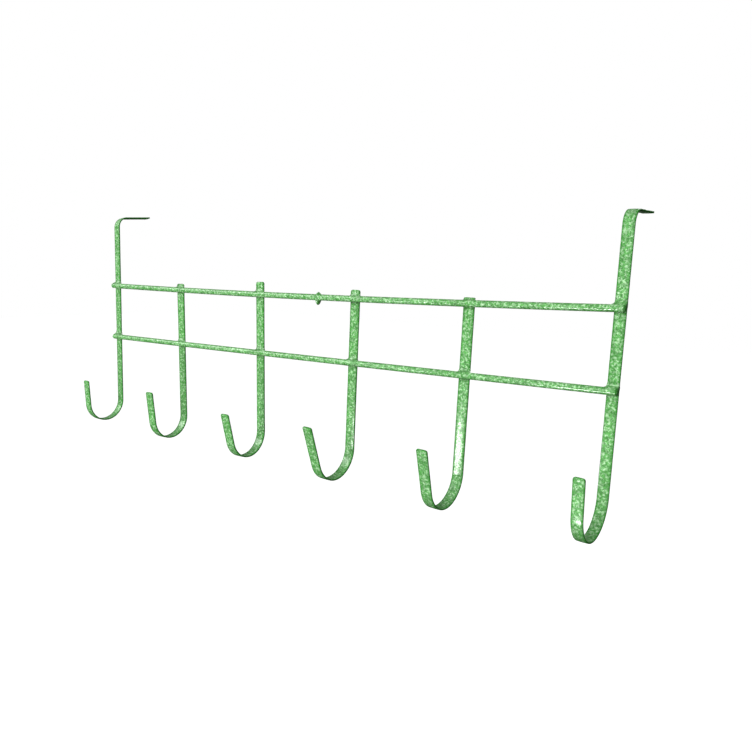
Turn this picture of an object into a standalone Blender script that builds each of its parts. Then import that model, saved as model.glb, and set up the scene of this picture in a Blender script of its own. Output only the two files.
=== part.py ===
"""Over-the-door hook rack: six flat steel straps, each bent into a J hook, joined by two welded round rods.

Metres, +Z up. The rack faces -Y and the door is at +Y. The origin is at the middle of the rack, where the
door's front face meets its top edge: Y = 0 is the back of the straps, Z = 0 the underside of the two arms
where their bends begin.
"""

from collections import namedtuple
from math import cos, pi, radians, sin, tan

import bmesh
import bpy

# Flat bar
END_STRAP_WIDTH = 0.0080
INNER_HOOK_WIDTH = 0.0090
STRAP_THICKNESS = 0.0017
STRAP_EDGE_ROUNDING = 0.0004
STRAP_CORNER_ROUNDING = 0.0020

# Arms of the two end straps, which lie on the door's top edge
ARM_REACH = 0.0370  # from the back of the strap to the arm's end
ARM_BEND_RADIUS = 0.0095  # on the strap's centreline, like every radius here

# Round rods, welded across the front of the straps
ROD_RADIUS = 0.0025
ROD_SPACING = 0.0520
UPPER_ROD_DROP = 0.0634  # from the door's top edge to the rod, at the middle of the rack
ROD_TILT = radians(0.9)  # the right end is the higher one
UPPER_ROD_SAG = 0.0020
LOWER_ROD_SAG = 0.0004
ROD_POINTS = 13
GAP = 0.0003  # left between pieces that touch

# Welds
WELD_HALF_SIZE = (0.0040, 0.0017, 0.0017)
BURR_X = 0.0143
BURR_HALF_SIZE = (0.0017, 0.0041, 0.0052)
BURR_DROP = 0.0011

# Arc steps
STEPS_J = 20
STEPS_BEND = 8
STEPS_CORNER = 4

# The hooks are bent by hand, so each has its own small departures from straight.
# x: place along the rack. top: height over the upper rod, None where the strap goes on over the door.
# bottom: depth under the door's top edge. radius: of the J. flare: how far the tip leans outwards.
# tip: straight length after the J. lean and twist: turns about Y and Z. rise and roll: the arm's slopes along
# and across.
Hook = namedtuple("Hook", "name x width top bottom radius flare tip lean twist rise roll")
END, INNER = END_STRAP_WIDTH, INNER_HOOK_WIDTH
HOOKS = (
    Hook("left_over_door_strap", -0.2500, END, None, 0.2048, 0.0186, 4, 0.025, 0.0, 0.0, 5, 8),
    Hook("inner_hook_1", -0.1541, INNER, 0.0057, 0.2067, 0.0186, 6, 0.029, -1.5, 1.0, 0, 0),
    Hook("inner_hook_2", -0.0520, INNER, 0.0107, 0.2064, 0.0192, 14, 0.027, -1.3, 1.0, 0, 0),
    Hook("inner_hook_3", 0.0484, INNER, 0.0070, 0.2066, 0.0214, 20, 0.035, 0.3, -2.0, 0, 0),
    Hook("inner_hook_4", 0.1466, INNER, 0.0042, 0.2078, 0.0214, 16, 0.034, 0.5, -3.5, 0, 0),
    Hook("right_over_door_strap", 0.2500, END, None, 0.2048, 0.0222, 5, 0.026, 0.0, -4.0, 2, 0),
)

PAINT = (0.150, 0.440, 0.130)
WELD_PAINT = (0.120, 0.360, 0.105)


def clear_scene():
    for obj in list(bpy.data.objects):
        bpy.data.objects.remove(obj, do_unlink=True)


def new_collection(name):
    collection = bpy.data.collections.new(name)
    bpy.context.scene.collection.children.link(collection)
    return collection


def paint(obj, colour):
    """Hammertone enamel: glossy, with a little metal flake in it."""
    material = bpy.data.materials.new(obj.name + "_paint")
    material.use_nodes = True
    shader = material.node_tree.nodes["Principled BSDF"]
    shader.inputs["Base Color"].default_value = (*colour, 1.0)
    shader.inputs["Roughness"].default_value = 0.35
    shader.inputs["Metallic"].default_value = 0.2
    obj.data.materials.append(material)


def add_object(name, data, collection, location=(0, 0, 0), rotation=(0, 0, 0)):
    obj = bpy.data.objects.new(name, data)
    obj.location = location
    obj.rotation_euler = rotation
    collection.objects.link(obj)
    return obj


def rod_height(x, drop, sag):
    """Height of a rod's axis at x: a tilted line with a shallow bow that hangs down in the middle."""
    half_span = HOOKS[-1].x
    return -drop + x * sin(ROD_TILT) - sag * (1 - (x / half_span) ** 2)


def upper_rod_height(x):
    return rod_height(x, UPPER_ROD_DROP, UPPER_ROD_SAG)


def lower_rod_height(x):
    return rod_height(x, UPPER_ROD_DROP + ROD_SPACING, LOWER_ROD_SAG)


def arc(centre, radius, start, sweep, steps):
    """Points of an arc in the YZ plane, its first point left out."""
    angles = [start + sweep * i / steps for i in range(1, steps + 1)]
    return [(centre[0] + radius * cos(a), centre[1] + radius * sin(a)) for a in angles]


def arm_line(hook):
    """Centreline of the arm and its bend, from the arm's end, as (y, z) with y = 0 on the strap's
    centreline. The arm's underside is at Z = 0 where the bend begins, and climbs from there."""
    rise = radians(hook.rise)
    along = (cos(rise), sin(rise))
    centre = (ARM_BEND_RADIUS, (STRAP_THICKNESS / 2 - ARM_BEND_RADIUS) * cos(rise))
    foot = (centre[0] - ARM_BEND_RADIUS * along[1], centre[1] + ARM_BEND_RADIUS * along[0])
    length = (ARM_REACH + STRAP_THICKNESS / 2 - foot[0]) / along[0]
    end = (foot[0] + length * along[0], foot[1] + length * along[1])
    bend = arc(centre, ARM_BEND_RADIUS, pi / 2 + rise, pi / 2 - rise, STEPS_BEND)
    return [end, foot] + bend


def j_line(hook):
    """Centreline of the J, from the leg's lower end to the tip."""
    centre_z = hook.radius - hook.bottom + STRAP_THICKNESS / 2
    turn = pi - radians(hook.flare)
    line = [(0, centre_z)] + arc((-hook.radius, centre_z), hook.radius, 0, -turn, STEPS_J)
    y, z = line[-1]
    line.append((y - hook.tip * sin(turn), z - hook.tip * cos(turn)))
    return line


def strap_line(hook):
    """The strap's centreline as (y, z, slope across)."""
    if hook.top is None:
        arm = [(y, z, tan(radians(hook.roll))) for y, z in arm_line(hook)]
    else:
        arm = [(0, upper_rod_height(hook.x) + hook.top, 0)]
    return arm + [(y, z, 0) for y, z in j_line(hook)]


def make_strap(hook, collection, parent):
    """A flat bar that follows the hook's centreline: a bent sheet, made solid, with rounded edges."""
    turning_height = -UPPER_ROD_DROP - ROD_SPACING / 2
    line = [(y, z - turning_height, slope) for y, z, slope in strap_line(hook)]
    shape = bmesh.new()
    rows = []
    for side in (-hook.width / 2, hook.width / 2):
        rows.append([shape.verts.new((side, y, z + side * slope)) for y, z, slope in line])
    for i in range(len(line) - 1):
        shape.faces.new((rows[0][i], rows[0][i + 1], rows[1][i + 1], rows[1][i]))
    bmesh.ops.bevel(
        shape,
        geom=[rows[0][0], rows[1][0], rows[0][-1], rows[1][-1]],
        offset=STRAP_CORNER_ROUNDING,
        offset_type="OFFSET",
        segments=STEPS_CORNER,
        profile=0.5,
        affect="VERTICES",
    )
    mesh = bpy.data.meshes.new(hook.name)
    shape.to_mesh(mesh)
    shape.free()
    place = (hook.x, -STRAP_THICKNESS / 2, turning_height)
    strap = add_object(hook.name, mesh, collection, place, (0, radians(hook.lean), radians(hook.twist)))
    strap.parent = parent
    solid = strap.modifiers.new("Thickness", "SOLIDIFY")
    solid.thickness = STRAP_THICKNESS
    solid.offset = 0
    solid.use_even_offset = True
    rounding = strap.modifiers.new("Rolled edges", "BEVEL")
    rounding.width = STRAP_EDGE_ROUNDING
    rounding.segments = 1
    rounding.limit_method = "ANGLE"
    rounding.angle_limit = radians(50)
    mesh.shade_smooth()
    mesh.set_sharp_from_angle(angle=radians(40))
    paint(strap, PAINT)
    return strap


def make_rod(name, height_at, collection, parent):
    """A round rod whose ends are flush with the outer edges of the end straps."""
    half_length = HOOKS[-1].x + END_STRAP_WIDTH / 2
    curve = bpy.data.curves.new(name, "CURVE")
    curve.dimensions = "3D"
    curve.bevel_depth = ROD_RADIUS
    curve.bevel_resolution = 5
    curve.use_fill_caps = True
    spline = curve.splines.new("POLY")
    spline.points.add(ROD_POINTS - 1)
    for i, point in enumerate(spline.points):
        x = half_length * (2 * i / (ROD_POINTS - 1) - 1)
        point.co = (x, 0, height_at(x), 1)
    rod = add_object(name, curve, collection, (0, rod_y(), 0))
    rod.parent = parent
    paint(rod, PAINT)


def rod_y():
    return -STRAP_THICKNESS - GAP - ROD_RADIUS


def cutter_from(name, shape, collection, location, rotation=(0, 0, 0)):
    mesh = bpy.data.meshes.new(name)
    shape.to_mesh(mesh)
    shape.free()
    cutter = add_object(name, mesh, collection, location, rotation)
    cutter.hide_render = True
    cutter.display_type = "WIRE"
    return cutter


def rod_cutter(name, x, height_at, collection):
    """The rod's space near x, with the gap round it."""
    shape = bmesh.new()
    bmesh.ops.create_cone(
        shape,
        cap_ends=True,
        segments=24,
        radius1=ROD_RADIUS + GAP,
        radius2=ROD_RADIUS + GAP,
        depth=4 * INNER_HOOK_WIDTH,
    )
    turn = (0, pi / 2 - ROD_TILT, 0)
    return cutter_from(name, shape, collection, (x, rod_y(), height_at(x)), turn)


def strap_cutter(name, x, z, twist, collection):
    """The strap's space near a weld, with the gap in front of it."""
    depth = 4 * STRAP_THICKNESS
    shape = bmesh.new()
    bmesh.ops.create_cube(shape, size=1)
    bmesh.ops.scale(shape, vec=(3 * INNER_HOOK_WIDTH, depth, 3 * INNER_HOOK_WIDTH), verts=shape.verts)
    bmesh.ops.translate(shape, vec=(0, depth / 2 - STRAP_THICKNESS / 2 - GAP, 0), verts=shape.verts)
    return cutter_from(name, shape, collection, (x, -STRAP_THICKNESS / 2, z), (0, 0, twist))


def make_bead(name, half_size, location, cutters, collection, parent):
    """A blob of weld metal, cut back from the pieces that it lies against."""
    shape = bmesh.new()
    bmesh.ops.create_uvsphere(shape, u_segments=16, v_segments=10, radius=1)
    bmesh.ops.scale(shape, vec=half_size, verts=shape.verts)
    mesh = bpy.data.meshes.new(name)
    shape.to_mesh(mesh)
    shape.free()
    bead = add_object(name, mesh, collection, location)
    bead.parent = parent
    for cutter in cutters:
        cut = bead.modifiers.new("Clear of " + cutter.name, "BOOLEAN")
        cut.operation = "DIFFERENCE"
        cut.solver = "EXACT"
        cut.object = cutter
    mesh.shade_smooth()
    mesh.set_sharp_from_angle(angle=radians(40))
    paint(bead, WELD_PAINT)


def make_weld(name, hook, height_at, collection, cutters, parent):
    """The fillet in the groove between a strap's face and the upper side of a rod."""
    z = height_at(hook.x)
    groove = (
        hook.x,
        -STRAP_THICKNESS - 0.5 * WELD_HALF_SIZE[1],
        z + 0.75 * ROD_RADIUS,
    )
    cuts = (
        rod_cutter(name + "_rod_space", hook.x, height_at, cutters),
        strap_cutter(name + "_strap_space", hook.x, z, radians(hook.twist), cutters),
    )
    make_bead(name, WELD_HALF_SIZE, groove, cuts, collection, parent)


def make_burr(collection, cutters, parent):
    """The lump where the upper rod's two lengths were joined, with a run of paint below it."""
    name = "rod_joint_burr"
    space = rod_cutter(name + "_rod_space", BURR_X, upper_rod_height, cutters)
    place = (BURR_X, rod_y(), upper_rod_height(BURR_X) - BURR_DROP)
    make_bead(name, BURR_HALF_SIZE, place, (space,), collection, parent)


def main():
    clear_scene()
    parts = new_collection("over_door_hook_rack")
    cutters = new_collection("cutters")
    door_top = add_object("door_top", None, parts)
    for hook in HOOKS:
        make_strap(hook, parts, door_top)
    make_rod("upper_rod", upper_rod_height, parts, door_top)
    make_rod("lower_rod", lower_rod_height, parts, door_top)
    for number, hook in enumerate(HOOKS, start=1):
        make_weld(f"upper_weld_{number}", hook, upper_rod_height, parts, cutters, door_top)
        make_weld(f"lower_weld_{number}", hook, lower_rod_height, parts, cutters, door_top)
    make_burr(parts, cutters, door_top)


main()
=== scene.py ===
"""Looks of the over-the-door hook rack: straps, rods and welds in green hammertone enamel, in a studio.

Metres, in the row frame: X along the rack, the door at +Y, Z = 0 at the underside of the two arms.
"""

from collections import namedtuple
from math import cos, exp, hypot, pi, radians, sin, sqrt, tan

import bmesh
import bpy
from mathutils import Euler, Matrix, Vector, noise


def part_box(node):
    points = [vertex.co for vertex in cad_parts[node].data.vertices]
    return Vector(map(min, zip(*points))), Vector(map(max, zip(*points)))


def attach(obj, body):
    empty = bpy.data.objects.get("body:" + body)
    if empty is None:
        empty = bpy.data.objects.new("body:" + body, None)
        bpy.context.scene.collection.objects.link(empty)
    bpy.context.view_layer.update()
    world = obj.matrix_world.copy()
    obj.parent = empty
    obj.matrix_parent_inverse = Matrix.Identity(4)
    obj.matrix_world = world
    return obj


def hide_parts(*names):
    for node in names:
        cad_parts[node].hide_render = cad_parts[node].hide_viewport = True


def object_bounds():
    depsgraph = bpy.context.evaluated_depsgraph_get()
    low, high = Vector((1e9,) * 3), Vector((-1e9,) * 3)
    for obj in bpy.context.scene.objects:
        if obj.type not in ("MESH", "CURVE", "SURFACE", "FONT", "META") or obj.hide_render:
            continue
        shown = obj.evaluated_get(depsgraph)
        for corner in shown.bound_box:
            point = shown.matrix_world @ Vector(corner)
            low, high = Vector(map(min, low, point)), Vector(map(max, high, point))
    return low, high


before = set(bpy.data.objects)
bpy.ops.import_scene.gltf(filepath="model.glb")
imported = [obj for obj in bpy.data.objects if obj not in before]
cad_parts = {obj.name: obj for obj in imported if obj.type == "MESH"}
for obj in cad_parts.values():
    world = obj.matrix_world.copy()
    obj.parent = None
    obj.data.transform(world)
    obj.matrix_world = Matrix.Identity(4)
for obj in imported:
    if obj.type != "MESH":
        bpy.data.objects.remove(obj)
cad_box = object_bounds()

# Camera
CAMERA_PLACE = (0.3529, -0.4310, -0.0434)
CAMERA_YAW = radians(33.27)
CAMERA_PITCH = radians(-8.95)
CAMERA_ROLL = radians(2.26)
CAMERA_LENS = 31.83
SENSOR_WIDTH = 36.0
CLIP_START = 0.01

# Flat bar
STRAP_THICKNESS = 0.0017
FACE_CROWN = 0.00009  # the paint is a little thicker along the middle of a face
EDGE_ROUNDING = 0.00045
CORNER_ROUNDING = 0.0018
CORNER_ROWS = 8
END_BEAD = 0.00010  # paint that gathered just short of an end
END_BEAD_PLACE = 0.0017
END_BEAD_WIDTH = 0.0006
FIRST_ROW = 0.00012
ROW_SPACING = 0.0016
ROW_CLEARANCE = 0.0004
ARC_SPACING = radians(4)
ARC_LEAST_STEPS = 4
FACE_COLUMNS = 6
EDGE_COLUMNS = 3
FACE_BORDER = 0.9  # how far the border of a face counts as edge
ARM_BEND_RADIUS = 0.0095

# How each bar is bent, as in the CAD, in metres and degrees: its width, the radius of its J, the outward
# lean of the tip, the tip's straight length, the bar's lean and twist, and its arm's slopes along and across
Bend = namedtuple("Bend", "width radius flare tip lean twist rise roll")
BENDS = {
    "left_over_door_strap": Bend(0.0080, 0.0186, 4, 0.025, 0.0, 0.0, 5, 8),
    "inner_hook_1": Bend(0.0090, 0.0186, 6, 0.029, -1.5, 1.0, 0, 0),
    "inner_hook_2": Bend(0.0090, 0.0192, 14, 0.027, -1.3, 1.0, 0, 0),
    "inner_hook_3": Bend(0.0090, 0.0214, 20, 0.035, 0.3, -2.0, 0, 0),
    "inner_hook_4": Bend(0.0090, 0.0214, 16, 0.034, 0.5, -3.5, 0, 0),
    "right_over_door_strap": Bend(0.0080, 0.0222, 5, 0.026, 0.0, -4.0, 2, 0),
}

# Rods
ROD_SEGMENTS = 28
ROD_STEP = 0.0020
ROD_END_ROUNDING = 0.0016
ROD_END_STEPS = 6
ROD_RELIEF = 0.4  # drawn rod is smoother than the flat bar
RING_SPACING = 0.005  # the CAD rods have one ring of points at least this far from the next
SLOPE_SPAN = 0.01

# Welds
SKIN_DETAIL = 4  # subdivisions of the sphere that a weld is drawn from
SKIN_STEPS = 24
SKIN_HALVINGS = 10
WELD_BLEND = 0.0036  # how far the metal fills the groove at an inner hook
WELD_BLEND_ON_ENDS = 0.0048
WELD_LEAST_BLEND = 0.0009
WELD_RISE = (-0.0012, 0.0016)  # heights over the rod's axis between which the filling grows
WELD_UNEVENNESS = 0.25
WELD_RIPPLE = 330  # ripples per metre
WELD_VARIETY = (91, 73)  # makes the ripple of each weld different
WELD_CENTRE = (0.0002, 0.0009)  # its middle, in front of the strap and above the rod's axis
WELD_REACH = (0.0062, 0.0040, 0.0064)
WELD_SINK = 0.00004

# Burr
BURR_BLEND = 0.0022
BURR_REACH = 0.0066
BURR_HALF_LENGTH = 0.0042
BURR_FLATTENING = 0.55
BURR_LEAN = 0.0003
BURR_TOP = 1.02  # where it closes at the top, as a share of its height
BURR_FULLNESS = 1.15
BURR_BLUNTNESS = 0.55

# Relief of the hammertone paint: size of a dimple and its depth, then of the slow waves of a hand-bent bar
DIMPLE_SIZE = 0.0022
DIMPLE_DEPTH = 0.000035
WAVE_SIZE = 0.014
WAVE_DEPTH = 0.00007

# Colours of the paint
PALE_GREEN = (0.460, 0.765, 0.425)
MID_GREEN = (0.125, 0.450, 0.103)
DEEP_GREEN = (0.040, 0.200, 0.032)
# Painted shade: the dark green that the rounded edges and ends of the bars and rods are darkened towards
EDGE_SHADE_GREEN = (0.020, 0.185, 0.014)

# Patterns of the paint: their scales, then the range of each that makes it go from none to full
WARP_SCALE = 260.0
WARP_SHIFT = 0.0018
CELL_SCALE = 430.0
CELL_SMOOTHNESS = 0.65
PATCH_SCALE = 600.0
PATCH_DISTORTION = 0.3
SPECK_SCALE = 950.0
SPECK_DISTORTION = 0.2
GRAIN_SCALE = 1500.0
DRIFT_SCALE = 28.0
VALLEY_RANGE = (0.25, 0.80)
PALE_RANGE = (0.44, 0.60)
SPECK_RANGE = (0.52, 0.64)
DRIFT_RANGE = (0.40, 0.75)

# How much each pattern darkens the paint
VALLEY_SHARE = 0.60
SPECK_SHARE = 0.80
DRIFT_SHARE = 0.12
# Painted shade on the rounded edges and ends, and how much the grain breaks it up
EDGE_SHADE_SHARE = 0.55
EDGE_SHADE_GRAIN_SHARE = 0.5
WELD_SHADE = 0.92

# Gloss of the paint
ROUGHNESS = 0.30
PATCH_ROUGHNESS = 0.22
VALLEY_ROUGHNESS = 0.10
FLAKE_METALLIC = 0.15
SPECULAR = 0.25
SPECULAR_LOSS_ON_EDGES = 0.20
COAT = 0.75
COAT_LOSS_ON_EDGES = 0.70
COAT_ROUGHNESS = 0.09
COAT_GRAIN_ROUGHNESS = 0.12

# Fine relief of the paint
VALLEY_HEIGHT = -1.0
PATCH_HEIGHT = 0.7
GRAIN_HEIGHT = 0.25
PAINT_BUMP = (0.45, 0.00018)
COAT_BUMP = (0.5, 0.00004)

# Studio
WHITE = (1.0, 1.0, 1.0)
FLOOR_DROP = 1.2
FLOOR_SIZE = 30.0
FLOOR_CELLS = 8
FLOOR_SCALE = 6.0
FLOOR_DETAIL = 4.0
FLOOR_TONES = ((0.90, 0.90, 0.90), (0.94, 0.94, 0.94))
FLOOR_ROUGHNESS = 0.85
FLOOR_GLOW = 0.75
UP_RANGE = (-0.35, 0.55)
BEHIND_RANGE = (-0.2, 0.8)
BEHIND_LOSS = 0.85
SKY_STRENGTH = 0.48
LEAST_STRENGTH = 0.012

# Lights: each a disk of some size in metres and power in watts, aimed at the middle of the rack
Light = namedtuple("Light", "place size power")
LIGHT_AIM = (0.0, 0.0, -0.12)
LIGHTS = {
    "key": Light((0.30, -2.0, 0.50), 0.9, 28.0),
    "glint": Light((-0.52, -0.988, -0.48), 0.11, 2.0),  # mirrored by the leg of the fourth inner hook
    "low": Light((-0.14, -1.0, -0.98), 0.17, 7.0),  # mirrored along the lower half of the rods
    "fill": Light((-1.7, -1.3, 1.1), 1.2, 19.0),
    "back": Light((0.3, 2.2, 1.2), 1.0, 30.0),
}


# ---------------------------------------------------------------- meshes


def middle(node):
    low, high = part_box(node)
    return (low + high) / 2


def hammered(shape, share):
    """Sinks every vertex by its share of the small relief of the paint and of the bar under it."""
    shape.normal_update()
    moved = []
    for v in shape.verts:
        dimple = noise.noise(v.co / DIMPLE_SIZE) - 1
        wave = noise.noise(v.co / WAVE_SIZE) - 1
        moved.append(v.co + v.normal * (DIMPLE_DEPTH * dimple + WAVE_DEPTH * wave) * share / 2)
    for v, place in zip(shape.verts, moved):
        v.co = place


def finished(name, shape, material, edge_values=None, relief=1.0):
    """Turns a bmesh into a piece that rides on the rack and stands for the CAD node of its name."""
    bmesh.ops.recalc_face_normals(shape, faces=shape.faces)
    hammered(shape, relief)
    mesh = bpy.data.meshes.new(name)
    shape.to_mesh(mesh)
    shape.free()
    mesh.shade_smooth()
    # How near each point is to a rounded edge or end: the paint gets painted shade there, and its coat is
    # thinner
    edge = mesh.attributes.new("edge", "FLOAT", "POINT")
    edge.data.foreach_set("value", edge_values or [0.0] * len(mesh.vertices))
    mesh.materials.append(material)
    piece = bpy.data.objects.new(name, mesh)
    bpy.context.scene.collection.objects.link(piece)
    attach(piece, "root")
    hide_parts(name)


def join_rings(shape, rings):
    """Faces between each ring of points and the next."""
    for near, far in zip(rings, rings[1:]):
        for i in range(len(near)):
            j = (i + 1) % len(near)
            shape.faces.new((near[i], near[j], far[j], far[i]))


# ---------------------------------------------------------------- flat bars


def straight(start, end):
    """Points from start to end, the first left out, spaced for the relief."""
    steps = max(1, round(hypot(end[0] - start[0], end[1] - start[1]) / ROW_SPACING))
    return [
        (start[0] + (end[0] - start[0]) * i / steps, start[1] + (end[1] - start[1]) * i / steps)
        for i in range(1, steps + 1)
    ]


def arc(centre, radius, start, sweep):
    """Points of an arc in the YZ plane, the first left out."""
    steps = max(ARC_LEAST_STEPS, round(abs(sweep) / ARC_SPACING))
    angles = [start + sweep * i / steps for i in range(1, steps + 1)]
    return [(centre[0] + radius * cos(a), centre[1] + radius * sin(a)) for a in angles]


def arm_line(reach, rise):
    """Centreline of an arm and its bend, from the arm's end, with its underside at Z = 0 where it bends."""
    along = (cos(rise), sin(rise))
    centre = (ARM_BEND_RADIUS, (STRAP_THICKNESS / 2 - ARM_BEND_RADIUS) * cos(rise))
    foot = (centre[0] - ARM_BEND_RADIUS * along[1], centre[1] + ARM_BEND_RADIUS * along[0])
    length = (reach - foot[0]) / along[0]
    line = [(foot[0] + length * along[0], foot[1] + length * along[1])]
    line += straight(line[-1], foot)
    line += arc(centre, ARM_BEND_RADIUS, pi / 2 + rise, pi / 2 - rise)
    return line


def j_line(start, bend, bottom):
    """Centreline of the leg, the J and its tip, from start down."""
    leg = start[0]
    centre = (leg - bend.radius, bottom + STRAP_THICKNESS / 2 + bend.radius)
    turn = pi - radians(bend.flare)
    line = straight(start, (leg, centre[1]))
    line += arc(centre, bend.radius, 0, -turn)
    y, z = line[-1]
    line += straight(line[-1], (y - bend.tip * sin(turn), z - bend.tip * cos(turn)))
    return line


def with_end_rows(line):
    """Adds the close rows that round the bar's two ends."""
    close = [CORNER_ROUNDING * (1 - cos(pi / 2 * i / CORNER_ROWS)) for i in range(1, CORNER_ROWS)]
    close += [FIRST_ROW, EDGE_ROUNDING, END_BEAD_PLACE, END_BEAD_PLACE + END_BEAD_WIDTH]
    close.sort()
    for _ in range(2):
        line = line[::-1]
        first = Vector(line[0])
        along = (Vector(line[2]) - first).normalized()
        rest = [p for p in line[1:] if (Vector(p) - first).length > close[-1] + ROW_CLEARANCE]
        line = [line[0]] + [tuple(first + along * d) for d in close] + rest
    return line


def strap_line(name, bend):
    """Centreline of a bar as (y, z), from the end of its arm, or from its top, to the end of its tip."""
    low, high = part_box(name)
    if "over_door" in name:
        twist = radians(bend.twist)
        rise = radians(bend.rise)
        swing = (bend.width / 2 - CORNER_ROUNDING) * abs(sin(twist))
        slant = STRAP_THICKNESS / 2 * sin(rise)
        line = arm_line((high.y + STRAP_THICKNESS / 2 - swing) / cos(twist) - slant, rise)
    else:
        line = [(0, high.z)]
    line += j_line(line[-1], bend, low.z)
    return with_end_rows(line)


def distances_from_end(line):
    """How far each point of a line is from the nearer of its two ends."""
    lengths = [0.0]
    for a, b in zip(line, line[1:]):
        lengths.append(lengths[-1] + hypot(b[0] - a[0], b[1] - a[1]))
    return [min(length, lengths[-1] - length) for length in lengths]


def outward(line, i):
    """Direction out of the bar's face at point i of its centreline."""
    before = line[max(i - 1, 0)]
    after = line[min(i + 1, len(line) - 1)]
    along = Vector((after[0] - before[0], after[1] - before[1])).normalized()
    return Vector((0, along.y, -along.x))


def half_width_at(width, distance):
    """Half the bar's width at that distance from its end, with its corners rounded."""
    if distance >= CORNER_ROUNDING:
        return width / 2
    inside = CORNER_ROUNDING - distance
    return width / 2 - CORNER_ROUNDING + sqrt(CORNER_ROUNDING**2 - inside**2)


def half_thickness_at(distance):
    """Half the bar's thickness there: its end is rounded, and a bead of paint lies behind it."""
    half = STRAP_THICKNESS / 2 - FACE_CROWN
    bead = END_BEAD * exp(-(((distance - END_BEAD_PLACE) / END_BEAD_WIDTH) ** 2))
    if distance < EDGE_ROUNDING:
        inside = EDGE_ROUNDING - distance
        half += -EDGE_ROUNDING + sqrt(EDGE_ROUNDING**2 - inside**2)
    return half - END_BEAD + bead


def section(half_width, half_thickness):
    """Outline of the bar's section, as (across, out, edge), where edge is 1 on its rounded sides."""
    rounding = min(EDGE_ROUNDING, half_thickness)
    flat = half_width - rounding
    corner = half_thickness - rounding
    turns = [pi / 2 * i / EDGE_COLUMNS for i in range(1, EDGE_COLUMNS + 1)]
    outline = []
    for side in (1, -1):
        for i in range(FACE_COLUMNS + 1):
            u = 1 - 2 * i / FACE_COLUMNS
            crown = FACE_CROWN * (1 - u * u)
            edge = FACE_BORDER if i in (0, FACE_COLUMNS) else 0.0
            outline.append((side * u * flat, side * (half_thickness + crown), edge))
        for a in turns:
            across = flat + rounding * sin(a)
            outline.append((-side * across, side * (corner + rounding * cos(a)), 1.0))
        for a in turns[-2::-1]:
            across = flat + rounding * sin(a)
            outline.append((-side * across, -side * (corner + rounding * cos(a)), 1.0))
    return outline


def cap_end(shape, ring):
    """Closes a bar's end with a strip of faces between its two flat sides."""
    far_edge = FACE_COLUMNS + EDGE_COLUMNS
    for i in range(-EDGE_COLUMNS, far_edge):
        outline = []
        for k in (i, i + 1, 2 * far_edge - i - 1, 2 * far_edge - i):
            if ring[k % len(ring)] not in outline:
                outline.append(ring[k % len(ring)])
        shape.faces.new(outline)


def bar_pivot(number):
    """The point that a bar leans and twists about: halfway between its two crossings with the rods."""
    upper = middle(f"upper_weld_{number}")
    lower = middle(f"lower_weld_{number}")
    return Vector(((upper.x + lower.x) / 2, -STRAP_THICKNESS / 2, (upper.z + lower.z) / 2))


def bar_turn(bend):
    return Euler((0, radians(bend.lean), radians(bend.twist))).to_matrix()


def make_strap(name, material):
    """A flat bar along its centreline, leant and twisted into place."""
    bend = BENDS[name]
    pivot = bar_pivot(list(BENDS).index(name) + 1)
    place = Matrix.Translation(pivot) @ bar_turn(bend).to_4x4()
    line = strap_line(name, bend)
    shape = bmesh.new()
    rings = []
    edges = []
    for i, distance in enumerate(distances_from_end(line)):
        y, z = line[i]
        out = outward(line, i)
        slope = tan(radians(bend.roll)) if z > -ARM_BEND_RADIUS else 0.0
        outline = section(half_width_at(bend.width, distance), half_thickness_at(distance))
        ring = []
        for across, offset, edge in outline:
            point = Vector((across, y, z + across * slope - pivot.z)) + out * offset
            ring.append(shape.verts.new(place @ point))
            edges.append(max(edge, 1 - distance / EDGE_ROUNDING))
        rings.append(ring)
    join_rings(shape, rings)
    cap_end(shape, rings[0])
    cap_end(shape, rings[-1])
    finished(name, shape, material, edges)


# ---------------------------------------------------------------- rods


def rod_axis(name):
    """The rod's line as (x, z), read from the rings of its CAD mesh, with its depth and radius."""
    low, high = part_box(name)
    rings = []
    for x, z in sorted((v.co.x, v.co.z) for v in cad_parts[name].data.vertices):
        if not rings or x - rings[-1][-1][0] > RING_SPACING:
            rings.append([])
        rings[-1].append((x, z))
    line = []
    for ring in rings:
        heights = [z for _, z in ring]
        line.append((sum(x for x, _ in ring) / len(ring), (min(heights) + max(heights)) / 2))
    return line, (low.y + high.y) / 2, (high.y - low.y) / 2


def height_on(line, x):
    """Height of the rod's axis at x: the parabola through its two ends and its middle."""
    (x0, z0), (x1, z1), (x2, z2) = line[0], line[len(line) // 2], line[-1]
    a = (x - x1) * (x - x2) / ((x0 - x1) * (x0 - x2))
    b = (x - x0) * (x - x2) / ((x1 - x0) * (x1 - x2))
    c = (x - x0) * (x - x1) / ((x2 - x0) * (x2 - x1))
    return a * z0 + b * z1 + c * z2


def rod_rows(start, end, radius):
    """The place and radius of each ring of a rod, close together over its domed ends."""
    dome = []
    for i in range(ROD_END_STEPS):
        a = pi / 2 * (i + 0.5) / ROD_END_STEPS
        dome.append((ROD_END_ROUNDING * (1 - cos(a)), radius - ROD_END_ROUNDING * (1 - sin(a))))
    length = end - start - 2 * ROD_END_ROUNDING
    steps = round(length / ROD_STEP)
    rows = [(start + s, r) for s, r in dome]
    rows += [(start + ROD_END_ROUNDING + length * i / steps, radius) for i in range(steps + 1)]
    rows += [(end - s, r) for s, r in reversed(dome)]
    return rows


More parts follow.
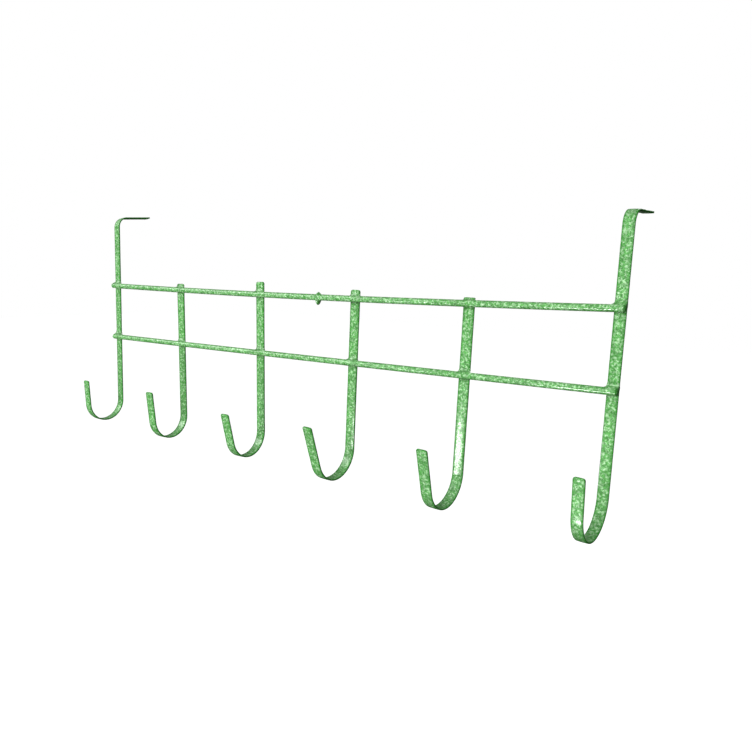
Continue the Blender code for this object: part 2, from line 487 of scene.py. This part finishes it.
def make_rod(name, material):
    """A round bar along its CAD line, with domed ends."""
    line, centre_y, radius = rod_axis(name)
    shape = bmesh.new()
    rings = []
    edges = []
    for x, r in rod_rows(line[0][0], line[-1][0], radius):
        z = height_on(line, x)
        ring = []
        for k in range(ROD_SEGMENTS):
            a = 2 * pi * k / ROD_SEGMENTS
            ring.append(shape.verts.new((x, centre_y + r * cos(a), z + r * sin(a))))
        rings.append(ring)
        edges += [1.0 if r < radius else 0.0] * ROD_SEGMENTS
    join_rings(shape, rings)
    for ring in (rings[0], rings[-1]):
        hub = shape.verts.new(sum((v.co for v in ring), Vector()) / ROD_SEGMENTS)
        edges.append(1.0)
        for k in range(ROD_SEGMENTS):
            shape.faces.new((ring[k], ring[(k + 1) % ROD_SEGMENTS], hub))
    finished(name, shape, material, edges, ROD_RELIEF)


# ---------------------------------------------------------------- welds


def smooth_min(a, b, blend):
    """The smaller of two distances, rounded where they are within blend of each other."""
    h = max(blend - abs(a - b), 0.0) / blend
    return min(a, b) - h * h * blend / 4


def smooth_step(x, low, high):
    t = min(max((x - low) / (high - low), 0.0), 1.0)
    return t * t * (3 - 2 * t)


def skin(centre, distance, reach):
    """A closed surface round centre: along each ray it lies where distance turns positive."""
    shape = bmesh.new()
    bmesh.ops.create_icosphere(shape, subdivisions=SKIN_DETAIL, radius=1)
    step = reach / SKIN_STEPS
    for v in shape.verts:
        ray = v.co.normalized()
        near = 0.0
        while near < reach and distance(centre + ray * (near + step)) < 0:
            near += step
        far = near + step
        for _ in range(SKIN_HALVINGS):
            half = (near + far) / 2
            if distance(centre + ray * half) < 0:
                near = half
            else:
                far = half
        v.co = centre + ray * near
    return shape


def distance_to_bar(q, width, height_over_top):
    """Distance of a point from a bar's leg, where q is the point in the leg's own upright frame."""
    side = abs(q.x) - width / 2 + EDGE_ROUNDING
    face = abs(q.y) - STRAP_THICKNESS / 2 + EDGE_ROUNDING
    end = height_over_top + EDGE_ROUNDING
    outside = Vector((max(side, 0), max(face, 0), max(end, 0))).length
    return outside + min(max(side, face, end), 0.0) - EDGE_ROUNDING


def make_weld(name, strap, rod, material):
    """Weld metal that fills the groove above a rod, where it crosses a strap, under the same paint."""
    line, rod_y, rod_radius = rod_axis(rod)
    rod_start, rod_end = line[0][0], line[-1][0]
    x = middle(name).x
    z = height_on(line, x)
    slope = (height_on(line, x + SLOPE_SPAN) - z) / SLOPE_SPAN
    bend = BENDS[strap]
    pivot = bar_pivot(int(name.rsplit("_", 1)[1]))
    back = bar_turn(bend).inverted()
    strap_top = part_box(strap)[1].z
    fill = WELD_BLEND_ON_ENDS if "over_door" in strap else WELD_BLEND
    centre = Vector((x, -STRAP_THICKNESS - WELD_CENTRE[0], z + WELD_CENTRE[1]))
    variety = Vector((x * WELD_VARIETY[0], z * WELD_VARIETY[1], 0))

    def distance(p):
        to_rod = hypot(p.y - rod_y, p.z - z - slope * (p.x - x)) - rod_radius
        to_strap = distance_to_bar(back @ (p - pivot), bend.width, p.z - strap_top)
        rise = smooth_step(p.z - z, *WELD_RISE)
        uneven = 1 + WELD_UNEVENNESS * noise.noise(p * WELD_RIPPLE + variety)
        joined = smooth_min(to_rod, to_strap, max(fill * rise * uneven, WELD_LEAST_BLEND))
        r = p - centre
        envelope = Vector([r[i] / WELD_REACH[i] for i in range(3)]).length - 1
        beyond_rod = max(rod_start - p.x, p.x - rod_end)
        return max(joined + WELD_SINK, envelope * WELD_REACH[1], beyond_rod)

    finished(name, skin(centre, distance, max(WELD_REACH)), material)


def make_burr(name, material):
    """The lump on the upper rod, with a run of paint that hangs to a point below it."""
    line, rod_y, rod_radius = rod_axis("upper_rod")
    low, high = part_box(name)
    x = (low.x + high.x) / 2
    z = height_on(line, x)
    width = (high.x - low.x) / 2

    def distance(p):
        to_rod = hypot(p.y - rod_y, p.z - z) - rod_radius
        share = min(max((p.z - low.z) / (high.z - low.z), 0.0), 1.0)
        bulge = (share * (BURR_TOP - share) * 4) ** BURR_BLUNTNESS
        half = width * min(1.0, BURR_FULLNESS * bulge)
        aside = hypot(p.x - x - BURR_LEAN * share, (p.y - rod_y) * BURR_FLATTENING)
        to_lump = hypot(aside, max(low.z - p.z, p.z - high.z, 0.0)) - half
        beyond = max(abs(p.x - x) - BURR_HALF_LENGTH, 0.0)
        return smooth_min(to_rod, to_lump, BURR_BLEND) + WELD_SINK + beyond

    finished(name, skin(Vector((x, rod_y, z)), distance, BURR_REACH), material)


# ---------------------------------------------------------------- materials


class Nodes:
    """A small hand for building a node tree."""

    def __init__(self, tree):
        self.tree = tree

    def add(self, kind, settings=None, **inputs):
        node = self.tree.nodes.new(kind)
        for key, value in (settings or {}).items():
            setattr(node, key, value)
        for key, value in inputs.items():
            self.put(node, key, value)
        return node

    def put(self, node, key, value):
        socket = node.inputs[key]
        if isinstance(value, bpy.types.NodeSocket):
            self.tree.links.new(value, socket)
        else:
            socket.default_value = value

    def math(self, operation, a, b=0.0, clamp=False):
        node = self.add("ShaderNodeMath", {"operation": operation, "use_clamp": clamp})
        self.put(node, 0, a)
        self.put(node, 1, b)
        return node.outputs[0]

    def mix(self, share, a, b):
        node = self.add("ShaderNodeMix", {"data_type": "RGBA"})
        self.put(node, 0, share)
        self.put(node, 6, a)
        self.put(node, 7, b)
        return node.outputs[2]

    def ramp(self, value, low, high):
        node = self.add("ShaderNodeMapRange", {"interpolation_type": "SMOOTHSTEP"})
        self.put(node, 0, value)
        self.put(node, 1, low)
        self.put(node, 2, high)
        return node.outputs[0]

    def noise(self, place, scale, detail=2.0, distortion=0.0):
        node = self.add("ShaderNodeTexNoise", Scale=scale, Detail=detail, Distortion=distortion)
        self.put(node, "Vector", place)
        return node.outputs["Fac"]


def colour(rgb):
    return (*rgb, 1.0)


def new_material(name):
    """A material with a principled shader, as the material, its nodes and the shader."""
    material = bpy.data.materials.new(name)
    material.use_nodes = True
    tree = material.node_tree
    return material, Nodes(tree), tree.nodes["Principled BSDF"]


def warped(n, place):
    """The place, shifted a little by a noise, so that the cells drawn from it have wavy borders."""
    warp = n.add("ShaderNodeTexNoise", Scale=WARP_SCALE, Detail=2.0)
    n.put(warp, "Vector", place)
    shift = n.add("ShaderNodeVectorMath", {"operation": "MULTIPLY_ADD"})
    n.put(shift, 0, warp.outputs["Color"])
    n.put(shift, 1, (WARP_SHIFT, WARP_SHIFT, WARP_SHIFT))
    n.put(shift, 2, place)
    return shift.outputs[0]


def paint_patterns(n):
    """The patterns that the paint is mixed from, from the smallest to the largest, and the bar's edges."""
    place = n.add("ShaderNodeTexCoord").outputs["Object"]
    settings = {"feature": "SMOOTH_F1"}
    cells = n.add("ShaderNodeTexVoronoi", settings, Scale=CELL_SCALE, Smoothness=CELL_SMOOTHNESS)
    n.put(cells, "Vector", warped(n, place))
    return {
        "grain": n.noise(place, GRAIN_SCALE),
        "speck": n.noise(place, SPECK_SCALE, 1.0, SPECK_DISTORTION),
        "patch": n.noise(place, PATCH_SCALE, 2.0, PATCH_DISTORTION),
        "valley": n.ramp(cells.outputs["Distance"], *VALLEY_RANGE),
        "drift": n.noise(place, DRIFT_SCALE),
        "edge": n.add("ShaderNodeAttribute", {"attribute_name": "edge"}).outputs["Fac"],
    }


def paint_colour(n, patterns, pale, shade):
    """Pale flake over green, darkened in the valleys and in the specks, with painted shade darkening the
    rounded edges and ends.
    """
    base = n.mix(pale, colour(MID_GREEN), colour(PALE_GREEN))
    speck = n.ramp(patterns["speck"], *SPECK_RANGE)
    drift = n.ramp(patterns["drift"], *DRIFT_RANGE)
    for pattern, share in ((patterns["valley"], VALLEY_SHARE), (speck, SPECK_SHARE), (drift, DRIFT_SHARE)):
        base = n.mix(n.math("MULTIPLY", pattern, share), base, colour(DEEP_GREEN))
    # Painted shade on the rounded edges and ends, broken up by the grain
    edge_shade = n.math("ADD", n.math("MULTIPLY", patterns["grain"], EDGE_SHADE_GRAIN_SHARE), EDGE_SHADE_SHARE)
    base = n.mix(n.math("MULTIPLY", patterns["edge"], edge_shade), base, colour(EDGE_SHADE_GREEN))
    return n.mix(1 - shade, base, colour(DEEP_GREEN))


def paint_gloss(n, shader, patterns):
    """Satin flake under a glossy coat that is thin on the edges."""
    rough = n.math("MULTIPLY", patterns["patch"], PATCH_ROUGHNESS)
    rough = n.math("ADD", rough, n.math("MULTIPLY", patterns["valley"], VALLEY_ROUGHNESS))
    n.put(shader, "Roughness", n.math("ADD", rough, ROUGHNESS, clamp=True))
    specular_loss = n.math("MULTIPLY", patterns["edge"], SPECULAR_LOSS_ON_EDGES)
    n.put(shader, "Specular IOR Level", n.math("SUBTRACT", SPECULAR, specular_loss))
    coat_loss = n.math("MULTIPLY", patterns["edge"], COAT_LOSS_ON_EDGES)
    n.put(shader, "Coat Weight", n.math("SUBTRACT", COAT, coat_loss))
    coat_grain = n.math("MULTIPLY", patterns["grain"], COAT_GRAIN_ROUGHNESS)
    n.put(shader, "Coat Roughness", n.math("ADD", coat_grain, COAT_ROUGHNESS))


def paint_relief(n, shader, patterns, relief):
    """Fine dimples in the paint, and weaker ones in its coat."""
    height = n.math("MULTIPLY", patterns["valley"], VALLEY_HEIGHT)
    height = n.math("ADD", height, n.math("MULTIPLY", patterns["patch"], PATCH_HEIGHT))
    height = n.math("ADD", height, n.math("MULTIPLY", patterns["grain"], GRAIN_HEIGHT))
    for socket, (strength, depth) in (("Normal", PAINT_BUMP), ("Coat Normal", COAT_BUMP)):
        bump = n.add("ShaderNodeBump", Strength=strength * relief, Distance=depth)
        n.put(bump, "Height", height)
        n.put(shader, socket, bump.outputs[0])


def hammertone(name, shade=1.0, relief=1.0):
    """Green hammertone enamel: pale pools of flake between deeper valleys, under a glossy coat."""
    material, n, shader = new_material(name)
    patterns = paint_patterns(n)
    pale = n.ramp(patterns["patch"], *PALE_RANGE)
    n.put(shader, "Base Color", paint_colour(n, patterns, pale, shade))
    n.put(shader, "Metallic", n.math("MULTIPLY", pale, FLAKE_METALLIC))
    paint_gloss(n, shader, patterns)
    paint_relief(n, shader, patterns, relief)
    return material


def floor_material():
    material, n, shader = new_material("floor")
    place = n.add("ShaderNodeTexCoord").outputs["Object"]
    speck = n.noise(place, FLOOR_SCALE, FLOOR_DETAIL)
    n.put(shader, "Base Color", n.mix(speck, colour(FLOOR_TONES[0]), colour(FLOOR_TONES[1])))
    n.put(shader, "Roughness", FLOOR_ROUGHNESS)
    n.put(shader, "Emission Color", colour(WHITE))
    n.put(shader, "Emission Strength", FLOOR_GLOW)
    return material


# ---------------------------------------------------------------- studio


def make_floor():
    """A plain pale floor far below the rack, lit on its own so that it stays near white."""
    shape = bmesh.new()
    bmesh.ops.create_grid(shape, x_segments=FLOOR_CELLS, y_segments=FLOOR_CELLS, size=FLOOR_SIZE / 2)
    mesh = bpy.data.meshes.new("floor")
    shape.to_mesh(mesh)
    shape.free()
    mesh.materials.append(floor_material())
    floor = bpy.data.objects.new("floor", mesh)
    floor.location = (0, 0, cad_box[0].z - FLOOR_DROP)
    floor.visible_diffuse = False
    floor.visible_glossy = False
    bpy.context.scene.collection.objects.link(floor)


def studio_strength(n):
    """Light of the studio by direction: strongest from above, weaker from behind and from below."""
    split = n.add("ShaderNodeSeparateXYZ")
    n.put(split, 0, n.add("ShaderNodeTexCoord").outputs["Generated"])
    up = n.ramp(split.outputs["Z"], *UP_RANGE)
    behind = n.ramp(split.outputs["Y"], *BEHIND_RANGE)
    front = n.math("SUBTRACT", 1.0, n.math("MULTIPLY", behind, BEHIND_LOSS))
    sky = n.math("MULTIPLY", n.math("MULTIPLY", up, front), SKY_STRENGTH)
    return n.math("ADD", sky, LEAST_STRENGTH)


def make_world():
    """A white studio: the backdrop that is seen is white, and the light from it is softer."""
    world = bpy.data.worlds.new("studio")
    bpy.context.scene.world = world
    world.use_nodes = True
    tree = world.node_tree
    tree.nodes.clear()
    n = Nodes(tree)
    light = n.add("ShaderNodeBackground", Color=colour(WHITE))
    n.put(light, "Strength", studio_strength(n))
    backdrop = n.add("ShaderNodeBackground", Color=colour(WHITE), Strength=1.0)
    both = n.add("ShaderNodeMixShader")
    n.put(both, 0, n.add("ShaderNodeLightPath").outputs["Is Camera Ray"])
    n.put(both, 1, light.outputs[0])
    n.put(both, 2, backdrop.outputs[0])
    out = n.add("ShaderNodeOutputWorld")
    n.put(out, "Surface", both.outputs[0])


def make_light(name, place, size, power):
    data = bpy.data.lights.new(name, "AREA")
    data.shape = "DISK"
    data.size = size
    data.energy = power
    light = bpy.data.objects.new(name, data)
    light.location = place
    light.rotation_mode = "QUATERNION"
    light.rotation_quaternion = (Vector(LIGHT_AIM) - Vector(place)).to_track_quat("-Z", "Y")
    bpy.context.scene.collection.objects.link(light)


def make_camera():
    data = bpy.data.cameras.new("camera")
    data.lens = CAMERA_LENS
    data.sensor_width = SENSOR_WIDTH
    data.clip_start = CLIP_START
    camera = bpy.data.objects.new("camera", data)
    turn = (
        Matrix.Rotation(CAMERA_YAW, 4, "Z")
        @ Matrix.Rotation(pi / 2 + CAMERA_PITCH, 4, "X")
        @ Matrix.Rotation(CAMERA_ROLL, 4, "Z")
    )
    camera.matrix_world = Matrix.Translation(CAMERA_PLACE) @ turn
    bpy.context.scene.collection.objects.link(camera)
    bpy.context.scene.camera = camera


def make_rack():
    enamel = hammertone("hammertone_enamel")
    rod_enamel = hammertone("hammertone_enamel_on_rods", relief=ROD_RELIEF)
    weld_enamel = hammertone("hammertone_enamel_on_welds", shade=WELD_SHADE)
    for name in BENDS:
        make_strap(name, enamel)
    for rod in ("upper_rod", "lower_rod"):
        make_rod(rod, rod_enamel)
    for number, strap in enumerate(BENDS, start=1):
        make_weld(f"upper_weld_{number}", strap, "upper_rod", weld_enamel)
        make_weld(f"lower_weld_{number}", strap, "lower_rod", weld_enamel)
    make_burr("rod_joint_burr", weld_enamel)


def make_studio():
    make_world()
    make_floor()
    for name, light in LIGHTS.items():
        make_light(name, *light)
    make_camera()
    bpy.context.scene.view_settings.view_transform = "Standard"


make_rack()
make_studio()
